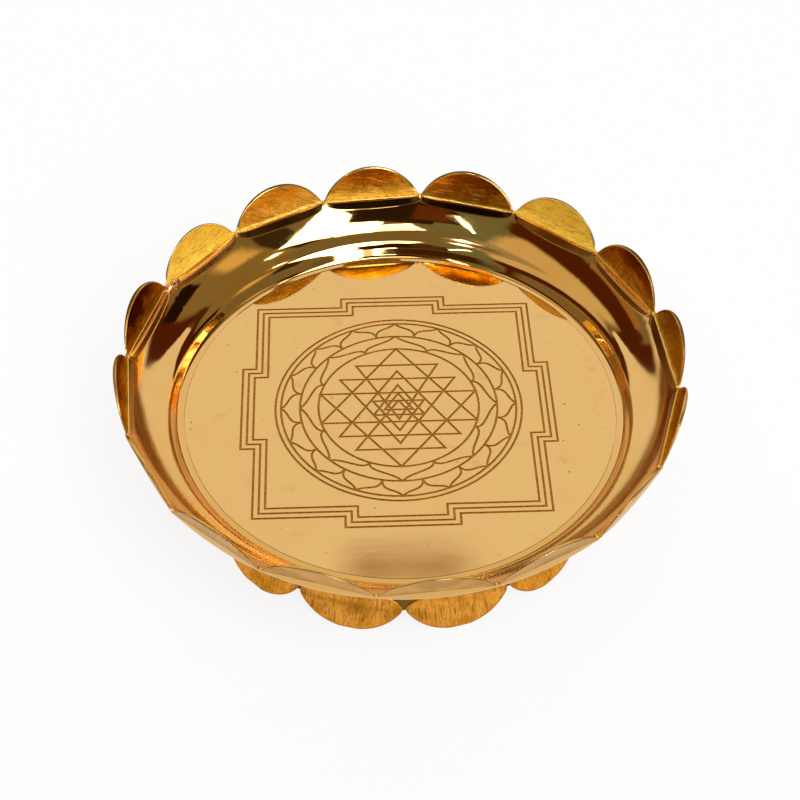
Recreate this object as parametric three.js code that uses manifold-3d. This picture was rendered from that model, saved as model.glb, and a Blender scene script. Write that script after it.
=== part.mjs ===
// Decorative lotus plate: a spun dish with an engraved floor and two borders of brazed petals.
// Millimetres, +Z up. The origin is the centre of the plane that the foot petals stand on.

import * as THREE from 'three';
import { mergeVertices } from 'three/addons/utils/BufferGeometryUtils.js';
import Module from 'manifold-3d';

const wasm = await Module();
wasm.setup();
const { Manifold, Mesh } = wasm;

// Sheet and gaps
const dishSheet = 1.2;
const floorSheet = 1.2;
const footSheet = 1.2;
const petalSheet = 1.2;
const seamGap = 0.3;
const petalGap = 0.6;

// Floor and the step round it
const floorRadius = 77.2;
const bandWidth = 1.9;
const bandHeight = 0.1;
const stepFoot = 0.6;
const stepRun = 2.1;
const stepRise = 3.35;
const shoulderRun = 1.7;
const shoulderRise = 1.3;

// Rim: sixteen petals stand on the chords of a ring of valleys
const rimCount = 16;
const rimValleyRadius = 96.6;
const rimHeight = 17.6;
const wallStartAngle = 22;
const wallEndAngle = 60;
const rimPetalHeight = 12.8;
const rimPetalAngle = 69;
const rimTurnAngle = 4.6;

// Foot: an inverted copy of the wall with twelve petals
const footCount = 12;
const footValleyRadius = 71.8;
const footRingHeight = 22;
const footNeckRadius = 58;
const footFlange = 8;
const footStartAngle = 22;
const footEndAngle = 74;
const footPetalHeight = 10.9;
const footPetalAngle = 68;
const footTipFlat = 0.3;
const footTurnAngle = 13.9;

// Engraving: the square lies a little off the axis of the plate, and the rings a little off the square
const lineWidth = 0.8;
const lineDepth = 0.25;
const squareCentre = new THREE.Vector2(-1.0, 0.7);
const ringCentre = new THREE.Vector2(-0.6, 0.1);
const squareHalf = 51;
const squareStep = 2.15;
const squareLines = 3;
const gateHalf = 19.5;
const gateReach = 4.8;
const borderRing = 44.2;
const outerPetalTips = 42.2;
const outerPetalRoots = 35.4;
const innerPetalRoots = 28.8;
const outerPetalCount = 16;
const innerPetalCount = 8;

// The nine triangles: height of the apex and of the base above the centre, half the base's width.
// The widest of each direction touches the inner ring with all its corners.
const upTriangles = [
  { apex: innerPetalRoots, base: -7.7, half: null },
  { apex: 17.3, base: -14.2, half: 21.3 },
  { apex: 10.3, base: -4.3, half: 9.0 },
  { apex: 6.0, base: -1.8, half: 5.1 },
  { apex: 2.6, base: -20.7, half: 15.6 },
];
const downTriangles = [
  { apex: -innerPetalRoots, base: 6.5, half: null },
  { apex: -18.0, base: 13.5, half: 20.9 },
  { apex: -11.9, base: 2.5, half: 9.2 },
  { apex: -6.5, base: 20.4, half: 14.9 },
];

// Fineness of the faceted surfaces. A ring has two sides for each of its steps.
const rimStepsPerPetal = 4;
const footStepsPerPetal = 6;
const curveSteps = 7;
const petalArcSteps = 16;
const floorSteps = 96;
const ringSteps = 36;
const strokeSteps = 8;
const weldDistance = 1e-4;

// Heights of the levels where one piece rests on another
const rad = THREE.MathUtils.degToRad;
const footEdge = footPetalHeight * Math.sin(rad(footPetalAngle)) - footTipFlat;
const dishBase = footEdge + footRingHeight;
const seat = dishBase + dishSheet;
const floorTop = seat + floorSheet;
const rimEdge = floorTop + rimHeight;

// Looks
const polished = { color: 0xe2b06a, roughness: 0.12, metalness: 1 };
const engraved = { color: 0xdfb070, roughness: 0.18, metalness: 1 };
const antique = { color: 0xc07a1e, roughness: 0.42, metalness: 1 };

function named(name, geometry, look) {
  const mesh = new THREE.Mesh(geometry, new THREE.MeshStandardMaterial(look));
  mesh.name = name;
  return mesh;
}

function numbered(name, index) {
  return `${name}_${String(index + 1).padStart(2, '0')}`;
}

// A closed triangle list from a flat list of points, three for each triangle
function geometryOf(points) {
  const geometry = new THREE.BufferGeometry().setFromPoints(points);
  geometry.computeVertexNormals();
  return geometry;
}

function quad(points, a, b, c, d) {
  points.push(a, b, c, a, c, d);
}

// Half the angle that one petal takes of its ring, and the distance from the axis to its chord
function petalHalfAngle(count) {
  return Math.PI / count;
}

function chordDistance(valleyRadius, count) {
  return valleyRadius * Math.cos(petalHalfAngle(count));
}

// Width of a leaning sheet where a level plane cuts it
function levelWidth(sheet, lean) {
  return sheet / Math.sin(rad(lean));
}

// A quadratic curve between two points of a profile, from its slopes at both ends
function slopedCurve(start, end, startSlope, endSlope) {
  const a = Math.tan(rad(startSlope));
  const b = Math.tan(rad(endSlope));
  const x = (end.y - start.y + a * start.x - b * end.x) / (a - b);
  const corner = new THREE.Vector2(x, start.y + a * (x - start.x));
  return new THREE.QuadraticBezierCurve(start, corner, end).getPoints(curveSteps);
}

// The profile moved sideways by a distance, to its right as it is walked
function offsetProfile(profile, distance) {
  return profile.map((point, i) => {
    const before = profile[Math.max(i - 1, 0)];
    const after = profile[Math.min(i + 1, profile.length - 1)];
    const along = after.clone().sub(before).normalize();
    return new THREE.Vector2(point.x + along.y * distance, point.y - along.x * distance);
  });
}

// A turned skin whose upper or lower part is cut flat along the chords of its petals.
// Each row is { r, z, limit }: the limit is the distance from the axis to the flat cut.
function chordCutSurface(rows, count, stepsPerPetal, closed) {
  const steps = count * stepsPerPetal;
  const rings = rows.map((row) => {
    const ring = [];
    for (let i = 0; i < steps; i += 1) {
      const angle = (i / steps) * 2 * Math.PI;
      const pitch = 2 * petalHalfAngle(count);
      const fromMiddle = angle - pitch * Math.round(angle / pitch);
      const r = Math.min(row.r, row.limit / Math.cos(fromMiddle));
      ring.push(new THREE.Vector3(r * Math.cos(angle), r * Math.sin(angle), row.z));
    }
    return ring;
  });
  const points = [];
  const last = closed ? rows.length : rows.length - 1;
  for (let j = 0; j < last; j += 1) {
    const low = rings[j];
    const high = rings[(j + 1) % rows.length];
    for (let i = 0; i < steps; i += 1) {
      const k = (i + 1) % steps;
      if (rows[j].r === 0) {
        points.push(low[i], high[i], high[k]);
      } else if (rows[(j + 1) % rows.length].r === 0) {
        points.push(low[i], high[i], low[k]);
      } else {
        quad(points, low[i], high[i], high[k], low[k]);
      }
    }
  }
  return geometryOf(points);
}

// Dish

// The inner profile from the seat of the floor to the valleys of the rim
function dishInside() {
  const seatRadius = floorRadius + seamGap;
  const band = new THREE.Vector2(seatRadius + bandWidth, floorTop + bandHeight);
  const foot = new THREE.Vector2(band.x + stepFoot, band.y + stepFoot);
  const top = new THREE.Vector2(foot.x + stepRun, foot.y + stepRise);
  const shoulder = new THREE.Vector2(top.x + shoulderRun, top.y + shoulderRise);
  const valley = new THREE.Vector2(rimValleyRadius, rimEdge);
  const wall = slopedCurve(shoulder, valley, wallStartAngle, wallEndAngle);
  return [new THREE.Vector2(seatRadius, floorTop), band, foot, top, ...wall];
}

// The outside follows the wall down to the heel, where the flat bottom starts
function makeDish() {
  const inside = dishInside();
  const innerLimit = chordDistance(rimValleyRadius, rimCount);
  const outerLimit = innerLimit + levelWidth(petalSheet, rimPetalAngle);
  const outside = offsetProfile(inside, dishSheet).filter((point) => point.y > seat);
  outside[outside.length - 1].set(outerLimit / Math.cos(petalHalfAngle(rimCount)), rimEdge);
  const heel = new THREE.Vector2(inside[0].x + dishSheet, dishBase);
  const rows = [
    { r: 0, z: seat, limit: innerLimit },
    { r: inside[0].x, z: seat, limit: innerLimit },
    ...inside.map((point) => ({ r: point.x, z: point.y, limit: innerLimit })),
    ...outside.reverse().map((point) => ({ r: point.x, z: point.y, limit: outerLimit })),
    { r: heel.x, z: heel.y, limit: outerLimit },
    { r: 0, z: dishBase, limit: outerLimit },
  ];
  return named('dish', chordCutSurface(rows, rimCount, rimStepsPerPetal, false), polished);
}

// Foot ring

function makeFootRing() {
  const neck = new THREE.Vector2(footNeckRadius, dishBase);
  const valley = new THREE.Vector2(footValleyRadius, footEdge);
  const innerLimit = chordDistance(footValleyRadius, footCount);
  const outerLimit = innerLimit + levelWidth(petalSheet, footPetalAngle);
  const middle = slopedCurve(neck, valley, -footStartAngle, -footEndAngle);
  const outside = middle.map((point) => ({ r: point.x, z: point.y, limit: outerLimit }));
  outside[outside.length - 1].r = outerLimit / Math.cos(petalHalfAngle(footCount));
  const inside = offsetProfile(middle, footSheet).slice(1, -1);
  const insideRows = inside.map((point) => ({ r: point.x, z: point.y, limit: innerLimit }));
  const flangeRadius = footNeckRadius - footFlange;
  const rows = [
    ...outside,
    { r: footValleyRadius, z: footEdge, limit: innerLimit },
    ...insideRows.reverse(),
    { r: flangeRadius, z: dishBase - footSheet, limit: innerLimit },
    { r: flangeRadius, z: dishBase, limit: innerLimit },
  ];
  const ring = chordCutSurface(rows, footCount, footStepsPerPetal, true);
  return named('foot_ring', ring, polished);
}

// Petals

// Half-moon outline: a circle's arc over a chord, cut level at the tip if a cut is given
function petalOutline(halfChord, height, tipCut) {
  const radius = (halfChord ** 2 + height ** 2) / (2 * height);
  const sweep = Math.asin(halfChord / radius);
  const flat = Math.acos((radius - tipCut) / radius);
  const outline = [];
  for (const side of [1, -1]) {
    for (let i = 0; i <= petalArcSteps / 2; i += 1) {
      const share = side > 0 ? i / (petalArcSteps / 2) : 1 - i / (petalArcSteps / 2);
      const angle = side * (sweep + (flat - sweep) * share);
      const seen = tipCut > 0 || side > 0 || i > 0;
      if (seen) {
        outline.push(new THREE.Vector2(radius * Math.sin(angle), height - radius * (1 - Math.cos(angle))));
      }
    }
  }
  return outline;
}

// A sheet petal that stands on a level plane at z 0 and leans away from the axis, its middle on +X.
// Its direction is 1 for a petal that points up and -1 for one that points down.
function petalGeometry(valleyRadius, count, height, lean, direction, tipCut) {
  const halfChord = valleyRadius * Math.sin(petalHalfAngle(count)) - petalGap / 2;
  const distance = chordDistance(valleyRadius, count);
  const width = levelWidth(petalSheet, lean);
  const outline = petalOutline(halfChord, height, tipCut / Math.sin(rad(lean)));
  const place = (point, shift) => {
    const out = distance + shift + point.y * Math.cos(rad(lean));
    return new THREE.Vector3(out, point.x, direction * point.y * Math.sin(rad(lean)));
  };
  const inner = outline.map((point) => place(point, 0));
  const outer = outline.map((point) => place(point, width));
  const points = [];
  for (let i = 1; i < outline.length - 1; i += 1) {
    points.push(inner[0], inner[i + 1], inner[i]);
    points.push(outer[0], outer[i], outer[i + 1]);
  }
  for (let i = 0; i < outline.length; i += 1) {
    const k = (i + 1) % outline.length;
    quad(points, inner[i], inner[k], outer[k], outer[i]);
  }
  if (direction < 0) {
    points.reverse();
  }
  return geometryOf(points);
}

function makeRimPetal(index) {
  const sizes = [rimValleyRadius, rimCount, rimPetalHeight, rimPetalAngle];
  const mesh = named(numbered('rim_petal', index), petalGeometry(...sizes, 1, 0), antique);
  mesh.rotation.z = (2 * Math.PI * index) / rimCount;
  mesh.position.z = rimEdge;
  return mesh;
}

function makeFootPetal(index) {
  const sizes = [footValleyRadius, footCount, footPetalHeight, footPetalAngle];
  const mesh = named(numbered('foot_petal', index), petalGeometry(...sizes, -1, footTipFlat), antique);
  mesh.rotation.z = (2 * Math.PI * index) / footCount;
  mesh.position.z = footEdge;
  return mesh;
}

// Engraved floor

function solidOf(geometry) {
  const bare = new THREE.BufferGeometry();
  const flat = geometry.index ? geometry.toNonIndexed() : geometry;
  bare.setAttribute('position', flat.attributes.position.clone());
  const merged = mergeVertices(bare, weldDistance);
  return new Manifold(new Mesh({
    numProp: 3,
    vertProperties: merged.attributes.position.array,
    triVerts: new Uint32Array(merged.index.array),
  }));
}

function geometryOfSolid(solid) {
  const mesh = solid.getMesh();
  const geometry = new THREE.BufferGeometry();
  geometry.setAttribute('position', new THREE.BufferAttribute(mesh.vertProperties, mesh.numProp));
  geometry.setIndex(new THREE.BufferAttribute(mesh.triVerts, 1));
  const flat = geometry.toNonIndexed();
  flat.computeVertexNormals();
  return flat;
}

// A cutter of the groove's depth that stands out of the floor by as much again
function groove(shape, centre, curveSegments) {
  const options = { depth: 2 * lineDepth, bevelEnabled: false, curveSegments };
  const geometry = new THREE.ExtrudeGeometry(shape, options);
  geometry.translate(centre.x, centre.y, floorTop - lineDepth);
  return solidOf(geometry);
}

function outlineGroove(outer, inner, centre) {
  const shape = new THREE.Shape(outer);
  shape.holes.push(new THREE.Path(inner));
  return groove(shape, centre, 1);
}

function ringGroove(radius) {
  const shape = new THREE.Shape();
  shape.absarc(0, 0, radius + lineWidth / 2, 0, 2 * Math.PI);
  const hole = new THREE.Path();
  hole.absarc(0, 0, radius - lineWidth / 2, 0, 2 * Math.PI);
  shape.holes.push(hole);
  return groove(shape, ringCentre, ringSteps);
}

// A square with a gate standing out of the middle of each side
function gatedSquare(half, gate, reach) {
  const corner = [
    [reach, -gate],
    [reach, gate],
    [half, gate],
    [half, half],
    [gate, half],
  ];
  const points = [];
  for (let side = 0; side < 4; side += 1) {
    const turn = (side * Math.PI) / 2;
    for (const [x, y] of corner) {
      points.push(new THREE.Vector2(x, y).rotateAround(new THREE.Vector2(), turn));
    }
  }
  return points;
}

function squareGroove(index) {
  const inset = index * squareStep;
  const sized = (grow) => gatedSquare(
    squareHalf - inset + grow,
    gateHalf - inset + grow,
    squareHalf + gateReach - inset + grow,
  );
  return outlineGroove(sized(lineWidth / 2), sized(-lineWidth / 2), squareCentre);
}

// A triangle moved outwards on all sides by a distance
function grownTriangle({ apex, base, half }, grow) {
  const slant = Math.hypot(apex - base, half);
  const rise = (grow * slant) / half;
  const up = Math.sign(apex - base);
  const tip = apex + up * rise;
  const floor = base - up * grow;
  const width = (half * Math.abs(tip - floor)) / Math.abs(apex - base);
  return [
    new THREE.Vector2(0, tip),
    new THREE.Vector2(-up * width, floor),
    new THREE.Vector2(up * width, floor),
  ];
}

function triangleGroove({ apex, base, half }) {
  const width = half ?? Math.sqrt(innerPetalRoots ** 2 - base ** 2);
  const sides = { apex, base, half: width };
  const outer = grownTriangle(sides, lineWidth / 2);
  const inner = grownTriangle(sides, -lineWidth / 2);
  return outlineGroove(outer, inner, ringCentre);
}

// One side of a pointed petal between two rings, as a strip of the line's width
function petalSideGroove(tips, roots, count, bend, middle, side) {
  const sweep = petalHalfAngle(count);
  const place = ([share, height]) => {
    const angle = middle + side * share * sweep;
    const radius = roots + (tips - roots) * height;
    return new THREE.Vector2(radius * Math.cos(angle), radius * Math.sin(angle));
  };
  const curve = new THREE.CubicBezierCurve(...[[0, 1], ...bend, [1, 0]].map(place));
  const middleLine = curve.getPoints(strokeSteps);
  const left = offsetProfile(middleLine, lineWidth / 2);
  const right = offsetProfile(middleLine, -lineWidth / 2);
  return groove(new THREE.Shape([...left, ...right.reverse()]), ringCentre, 1);
}

function petalBorderGrooves(tips, roots, count, bend) {
  const grooves = [];
  for (let i = 0; i < count; i += 1) {
    const middle = i * 2 * petalHalfAngle(count);
    for (const side of [1, -1]) {
      grooves.push(petalSideGroove(tips, roots, count, bend, middle, side));
    }
  }
  return grooves;
}

// Where each border's sides bend, as shares of a petal's half angle and height
const outerPetalBend = [[0.28, 0.52], [0.98, 0.78]];
const innerPetalBend = [[0.28, 0.4], [0.98, 0.66]];

function makeFloorPlate() {
  const disc = new THREE.CylinderGeometry(floorRadius, floorRadius, floorSheet, floorSteps);
  disc.rotateX(Math.PI / 2);
  disc.translate(0, 0, seat + floorSheet / 2);
  const grooves = [
    ...Array.from({ length: squareLines }, (_, index) => squareGroove(index)),
    ...[borderRing, outerPetalTips, outerPetalRoots, innerPetalRoots].map(ringGroove),
    ...petalBorderGrooves(outerPetalTips, outerPetalRoots, outerPetalCount, outerPetalBend),
    ...petalBorderGrooves(outerPetalRoots, innerPetalRoots, innerPetalCount, innerPetalBend),
    ...upTriangles.map(triangleGroove),
    ...downTriangles.map(triangleGroove),
  ];
  const plate = solidOf(disc).subtract(Manifold.union(grooves));
  return named('floor_plate', geometryOfSolid(plate), engraved);
}

// Assembly

function turnedGroup(angle, meshes) {
  const group = new THREE.Group();
  group.rotation.z = rad(angle);
  group.add(...meshes);
  return group;
}

const plate = new THREE.Group();
const rimPetals = Array.from({ length: rimCount }, (_, index) => makeRimPetal(index));
const footPetals = Array.from({ length: footCount }, (_, index) => makeFootPetal(index));
plate.add(makeFloorPlate());
plate.add(turnedGroup(rimTurnAngle, [makeDish(), ...rimPetals]));
plate.add(turnedGroup(footTurnAngle, [makeFootRing(), ...footPetals]));

export default plate;
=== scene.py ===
# Looks of the lotus plate: its polished dish and foot, engraved floor and matt brass petals.
# The frame is in metres. The sizes below are in millimetres, as in the part's source, and the angles
# in degrees.

import math
import random

import bmesh
import bpy
from mathutils import Matrix, Vector, noise


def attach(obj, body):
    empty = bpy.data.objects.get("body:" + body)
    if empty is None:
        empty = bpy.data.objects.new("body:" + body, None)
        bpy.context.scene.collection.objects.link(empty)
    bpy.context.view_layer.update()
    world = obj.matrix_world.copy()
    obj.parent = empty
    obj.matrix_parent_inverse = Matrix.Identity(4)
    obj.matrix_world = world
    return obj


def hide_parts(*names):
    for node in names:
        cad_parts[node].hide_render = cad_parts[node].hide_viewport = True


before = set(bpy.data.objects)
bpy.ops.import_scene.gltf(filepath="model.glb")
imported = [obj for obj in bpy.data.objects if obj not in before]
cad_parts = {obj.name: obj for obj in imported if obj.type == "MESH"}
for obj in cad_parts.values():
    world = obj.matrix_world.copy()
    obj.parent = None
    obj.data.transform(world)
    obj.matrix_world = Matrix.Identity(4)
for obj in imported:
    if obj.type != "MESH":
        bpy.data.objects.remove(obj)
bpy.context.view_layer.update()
random.seed(11)
MM = 0.001

# Sizes of the part's source
DISH_SHEET = 1.2
FLOOR_SHEET = 1.2
PETAL_SHEET = 1.2
FOOT_SHEET = 1.2
SEAT_RADIUS = 77.5
DISH_BASE = 31.806
SEAT = DISH_BASE + DISH_SHEET
FLOOR_TOP = SEAT + FLOOR_SHEET
RIM_COUNT = 16
RIM_RADIUS = 96.6
RIM_RISE = 17.6
RIM_EDGE = FLOOR_TOP + RIM_RISE
RIM_LEAN = 69
RIM_TURN = 4.6
FOOT_COUNT = 12
FOOT_RADIUS = 71.8
FOOT_EDGE = 9.806
FOOT_NECK = 58
FOOT_FLANGE = 8
FOOT_HEIGHT = 10.9
FOOT_LEAN = 68
FOOT_TURN = 13.9
FOOT_TIP_FLAT = 0.3
PETAL_GAP = 0.6


# Meshes

def rad(degrees):
    return math.radians(degrees)


def finish_mesh(name, bm, material, smooth_angle):
    """A piece of the scene. Edges that turn by more than the smooth angle stay sharp."""
    bmesh.ops.remove_doubles(bm, verts=bm.verts, dist=1e-6)
    bmesh.ops.dissolve_degenerate(bm, edges=bm.edges, dist=1e-7)
    bmesh.ops.recalc_face_normals(bm, faces=bm.faces)
    mesh = bpy.data.meshes.new(name)
    bm.to_mesh(mesh)
    bm.free()
    mesh.shade_smooth()
    mesh.set_sharp_from_angle(angle=rad(smooth_angle))
    mesh.materials.append(material)
    piece = bpy.data.objects.new(name, mesh)
    bpy.context.scene.collection.objects.link(piece)
    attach(piece, "root")
    return piece


def surface_of_columns(columns, close_rows, marks=None):
    """A closed skin from columns of points that stand round the axis. The columns have as many points each.
    The marks are named tables of one number for each point."""
    bm = bmesh.new()
    layers = {key: bm.verts.layers.float.new(key) for key in (marks or {})}
    grid = [[bm.verts.new(p) for p in column] for column in columns]
    for key, layer in layers.items():
        for column, values in zip(grid, marks[key]):
            for vert, value in zip(column, values):
                vert[layer] = value
    rows = len(columns[0])
    last = rows if close_rows else rows - 1
    for i, left in enumerate(grid):
        right = grid[(i + 1) % len(grid)]
        for j in range(last):
            k = (j + 1) % rows
            bm.faces.new((left[j], right[j], right[k], left[k]))
    return bm


# Lines of a section, whose points are (distance from the axis, height)

def between(a, b, share):
    return (a[0] + (b[0] - a[0]) * share, a[1] + (b[1] - a[1]) * share)


def on_curve(curve, t):
    """A point of a quadratic curve"""
    start, control, end = curve
    x, y = ((1 - t) ** 2 * a + 2 * t * (1 - t) * b + t * t * c for a, b, c in zip(start, control, end))
    return (x, y)


def along_curve(curve, first, last, steps):
    return [on_curve(curve, first + (last - first) * i / steps) for i in range(steps + 1)]


def toward(a, b, distance):
    """A point on the way from a to b, short of the middle"""
    length = math.dist(a, b)
    return between(a, b, min(0.48, distance / length) if length > 0 else 0)


def rounded(corners, radii, steps):
    """A line through corners, each rounded by its radius. A radius of 0 keeps the corner."""
    points = [corners[0]]
    for before, corner, after, radius in zip(corners, corners[1:], corners[2:], radii):
        if radius == 0:
            points.append(corner)
        else:
            bend = (toward(corner, before, radius), corner, toward(corner, after, radius))
            points += along_curve(bend, 0, 1, steps)
    return points + [corners[-1]]


def sloped_curve(start, end, slopes):
    """Control points of a quadratic curve with these slopes at its start and end"""
    a, b = (math.tan(rad(slope)) for slope in slopes)
    x = (end[1] - start[1] + a * start[0] - b * end[0]) / (a - b)
    return start, (x, start[1] + a * (x - start[0])), end


def find(curve, axis, value):
    """Where a coordinate that only rises or only falls along the curve reaches a value, from 0 to 1"""
    low, high = 0.0, 1.0
    rising = on_curve(curve, 1)[axis] > on_curve(curve, 0)[axis]
    for _ in range(30):
        middle = (low + high) / 2
        if (on_curve(curve, middle)[axis] < value) == rising:
            low = middle
        else:
            high = middle
    return (low + high) / 2


def from_middle(angle, count):
    """How far an angle lies from the middle of its petal"""
    pitch = 2 * math.pi / count
    return angle - pitch * round(angle / pitch)


def chord_distance(radius, count):
    return radius * math.cos(math.pi / count)


def half_chord(radius, count):
    return radius * math.sin(math.pi / count) - PETAL_GAP / 2


def level_width(lean):
    return PETAL_SHEET / math.sin(rad(lean))


def placed(column, angle, turn):
    a = angle + rad(turn)
    return [Vector((r * math.cos(a), r * math.sin(a), z)) * MM for r, z in column]


# Dish: under each rim petal the wall ends in a flat lens, which reaches down to a soft crease.
# The inside rises from the floor plate's seat over a low step to the shoulder, where the wall starts.
# Lists with 16 values begin at the petal on the right and go round anticlockwise.

WALL_SLOPES = (22, 60)
SHOULDER = (83.8, FLOOR_TOP + 5.35)
WALL = sloped_curve(SHOULDER, (RIM_RADIUS, RIM_EDGE), WALL_SLOPES)
WALL_START = 0.12
WALL_STEPS = 26
STEP_CORNERS = [
    (SEAT_RADIUS - 0.2, SEAT),
    (SEAT_RADIUS - 0.2, FLOOR_TOP - 0.07),
    (SEAT_RADIUS + 0.1, FLOOR_TOP),
    (79.3, FLOOR_TOP + 0.1),
    (80.0, FLOOR_TOP + 0.7),
    (82.1, FLOOR_TOP + 4.05),
    SHOULDER,
    on_curve(WALL, WALL_START),
]
STEP_ROUNDING = [0.0, 0.06, 0.5, 0.6, 1.3, 1.3]
STEP = rounded(STEP_CORNERS, STEP_ROUNDING, 6)
OUTER_SHOULDER = (84.35, FLOOR_TOP + 4.2)
OUTER_REACH = 97.75
OUTER_WALL = sloped_curve(OUTER_SHOULDER, (OUTER_REACH, RIM_EDGE - 0.6), WALL_SLOPES)
OUTER_TOP_ROUNDING = [1.6]
HEEL_CORNERS = [
    OUTER_SHOULDER,
    (83.1, FLOOR_TOP + 3.1),
    (81.2, FLOOR_TOP + 0.1),
    (80.4, FLOOR_TOP - 0.6),
    (78.7, SEAT),
    (78.7, DISH_BASE),
    (76, DISH_BASE),
]
HEEL_ROUNDING = [0.8, 0.8, 0.5, 0.6, 0.3, 0.4]
DISH_STEPS = 28
LENS_HEIGHTS = [4.4, 5.0, 4.4, 4.0, 4.0, 4.3, 5.0, 4.8, 4.4, 3.8, 3.6, 3.5, 3.5, 3.7, 3.9, 4.2]
LENS_FULLNESS = 0.38
# How strongly painted shade darkens the lens under each petal
PAINTED_LENS_SHADE = [0.6, 0.75, 0.85, 1.0, 1.0, 0.97, 0.85, 0.7, 0.3, 0.2, 0.2, 0.2, 0.2, 0.2, 0.3, 0.5]
BANDED_LENSES = (1, 6, 7)
BAND_HOLLOW = 0.12
LIP = 0.26


def lens_line(index, edge, round_off):
    """The crease below the lens as a place on the wall, and points from the crease's bend to the lip"""
    lens = max(LENS_HEIGHTS[index] * round_off ** LENS_FULLNESS, LIP + 0.05)
    foot = find(WALL, 1, RIM_EDGE - lens)
    crease = on_curve(WALL, foot)
    before = on_curve(WALL, WALL_START + (foot - WALL_START) * (WALL_STEPS - 1) / WALL_STEPS)
    bend = rounded([before, crease, between(crease, edge, 0.4)], [min(0.45, 0.3 * lens + 0.01)], 3)
    middle = [between(crease, edge, share) for share in (0.46, 0.5, 0.54)]
    if index in BANDED_LENSES:
        middle[1] = (middle[1][0] - BAND_HOLLOW * round_off, middle[1][1])
    return foot, bend[1:3], bend[3:] + middle + [between(crease, edge, 0.8)]


def outer_line(outer_limit):
    """The dish's outside, from the rim to the middle of its base"""
    meet = find(OUTER_WALL, 0, min(outer_limit, OUTER_REACH - 0.05))
    wall = along_curve(OUTER_WALL, meet, 0, WALL_STEPS)
    top = rounded([(outer_limit, RIM_EDGE), (outer_limit, wall[0][1]), wall[2]], OUTER_TOP_ROUNDING, 4)
    heel = rounded([wall[-2]] + HEEL_CORNERS, HEEL_ROUNDING, 3)
    return top + wall[3:-2] + heel + [(0, DISH_BASE)]


def dish_column(angle):
    """Points of the section, from the middle over the inside to the middle again, and their marks: satin
    for the lens, painted shade on the lens and a painted highlight on the lip"""
    theta = from_middle(angle, RIM_COUNT)
    index = round(angle * RIM_COUNT / (2 * math.pi)) % RIM_COUNT
    round_off = max(0.0, 1 - (theta / (math.pi / RIM_COUNT)) ** 2)
    chord = chord_distance(RIM_RADIUS, RIM_COUNT)
    edge = (chord / math.cos(theta), RIM_EDGE - LIP)
    foot, bend, lens = lens_line(index, edge, round_off)
    wall = along_curve(WALL, WALL_START, foot, WALL_STEPS)
    below = [(0, SEAT)] + STEP[:-1] + wall[:-1] + bend
    turns = [rad(a) for a in (0, 30, 60, 90)]
    lip = [(edge[0] + LIP * (1 - math.cos(a)), edge[1] + LIP * math.sin(a)) for a in turns]
    outside = outer_line((chord + level_width(RIM_LEAN)) / math.cos(theta))
    painted_shade_shares = [PAINTED_LENS_SHADE[index]] * len(lens)
    if index in BANDED_LENSES:
        painted_shade_shares[-3:] = [0.0] * 3
    start, end = [0.0] * len(below), [0.0] * len(outside)
    marks = {
        "satin": start + [1.0] * len(lens) + [0.0] * len(lip) + end,
        "painted_dark": start + painted_shade_shares + [0.0] * len(lip) + end,
        "painted_lip_highlight": start + [0.0] * len(lens) + [1.0] * len(lip) + end,
    }
    return below + lens + lip + outside, marks


def make_dish(material):
    """The marks fade out towards the ends of each lens"""
    columns = []
    tables = {"satin": [], "painted_dark": [], "painted_lip_highlight": []}
    steps = RIM_COUNT * DISH_STEPS
    for i in range(steps):
        angle = 2 * math.pi * i / steps
        column, marks = dish_column(angle)
        columns.append(placed(column, angle, RIM_TURN))
        share = from_middle(angle, RIM_COUNT) / (math.pi / RIM_COUNT)
        strength = min(1.0, 6 * (1 - abs(share)))
        for key, table in tables.items():
            table.append([strength * mark for mark in marks[key]])
    bm = surface_of_columns(columns, False, tables)
    piece = finish_mesh("polished_dish", bm, material, 40)
    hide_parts("dish")


# Foot ring: its wall falls from the dish to the foot petals, and its flange turns inwards under the dish

FOOT_WALL = sloped_curve((FOOT_NECK, DISH_BASE), (FOOT_RADIUS, FOOT_EDGE), (-22, -74))
FOOT_STEPS = 24
FOOT_RECESS = 0.95
FOOT_INSET = (1.15, 0.35)


def foot_column(angle):
    """The ring's flats lie back by the recess, so that the petals' upper pads cover them"""
    theta = from_middle(angle, FOOT_COUNT)
    chord = chord_distance(FOOT_RADIUS, FOOT_COUNT)
    limit = chord / math.cos(theta)
    outer_limit = (chord + level_width(FOOT_LEAN) - FOOT_RECESS) / math.cos(theta)
    meet = find(FOOT_WALL, 0, min(outer_limit, FOOT_RADIUS - 0.01))
    wall = along_curve(FOOT_WALL, 0, meet, WALL_STEPS)
    edge = rounded([wall[-2], wall[-1], (outer_limit, FOOT_EDGE)], [0.5], 4)
    rim = [(limit, FOOT_EDGE), (limit - 0.02, FOOT_EDGE + 0.6)]
    inner = [(min(r - FOOT_INSET[0], limit - 0.02), z - FOOT_INSET[1]) for r, z in wall[::-1]]
    flange_top = DISH_BASE - FOOT_SHEET
    flange = [
        (FOOT_NECK - FOOT_SHEET, flange_top),
        (FOOT_NECK - FOOT_FLANGE, flange_top),
        (FOOT_NECK - FOOT_FLANGE, DISH_BASE),
    ]
    return wall[:-1] + edge[1:] + rim + inner[3:-2] + flange


def make_foot_ring(material):
    columns = []
    steps = FOOT_COUNT * FOOT_STEPS
    for i in range(steps):
        angle = 2 * math.pi * i / steps
        columns.append(placed(foot_column(angle), angle, FOOT_TURN))
    piece = finish_mesh("polished_foot", surface_of_columns(columns, True), material, 40)
    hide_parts("foot_ring")


# Petals: sheets with rounded edges. On a petal, x runs along its chord and y away from it.

PETAL_STEPS = 40
BEVEL = 0.4
BORDER = BEVEL * 1.6
BEVEL_ANGLES = (0, 22, 45, 67, 90)
RING_SHARES = (0.93, 0.84, 0.72, 0.58, 0.42, 0.25, 0.1)
RING_REACH = 7
CENTRE_EDGE = 8
FLUSH_REACH = 1.2
PLACE_STEP = 7.3


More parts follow.
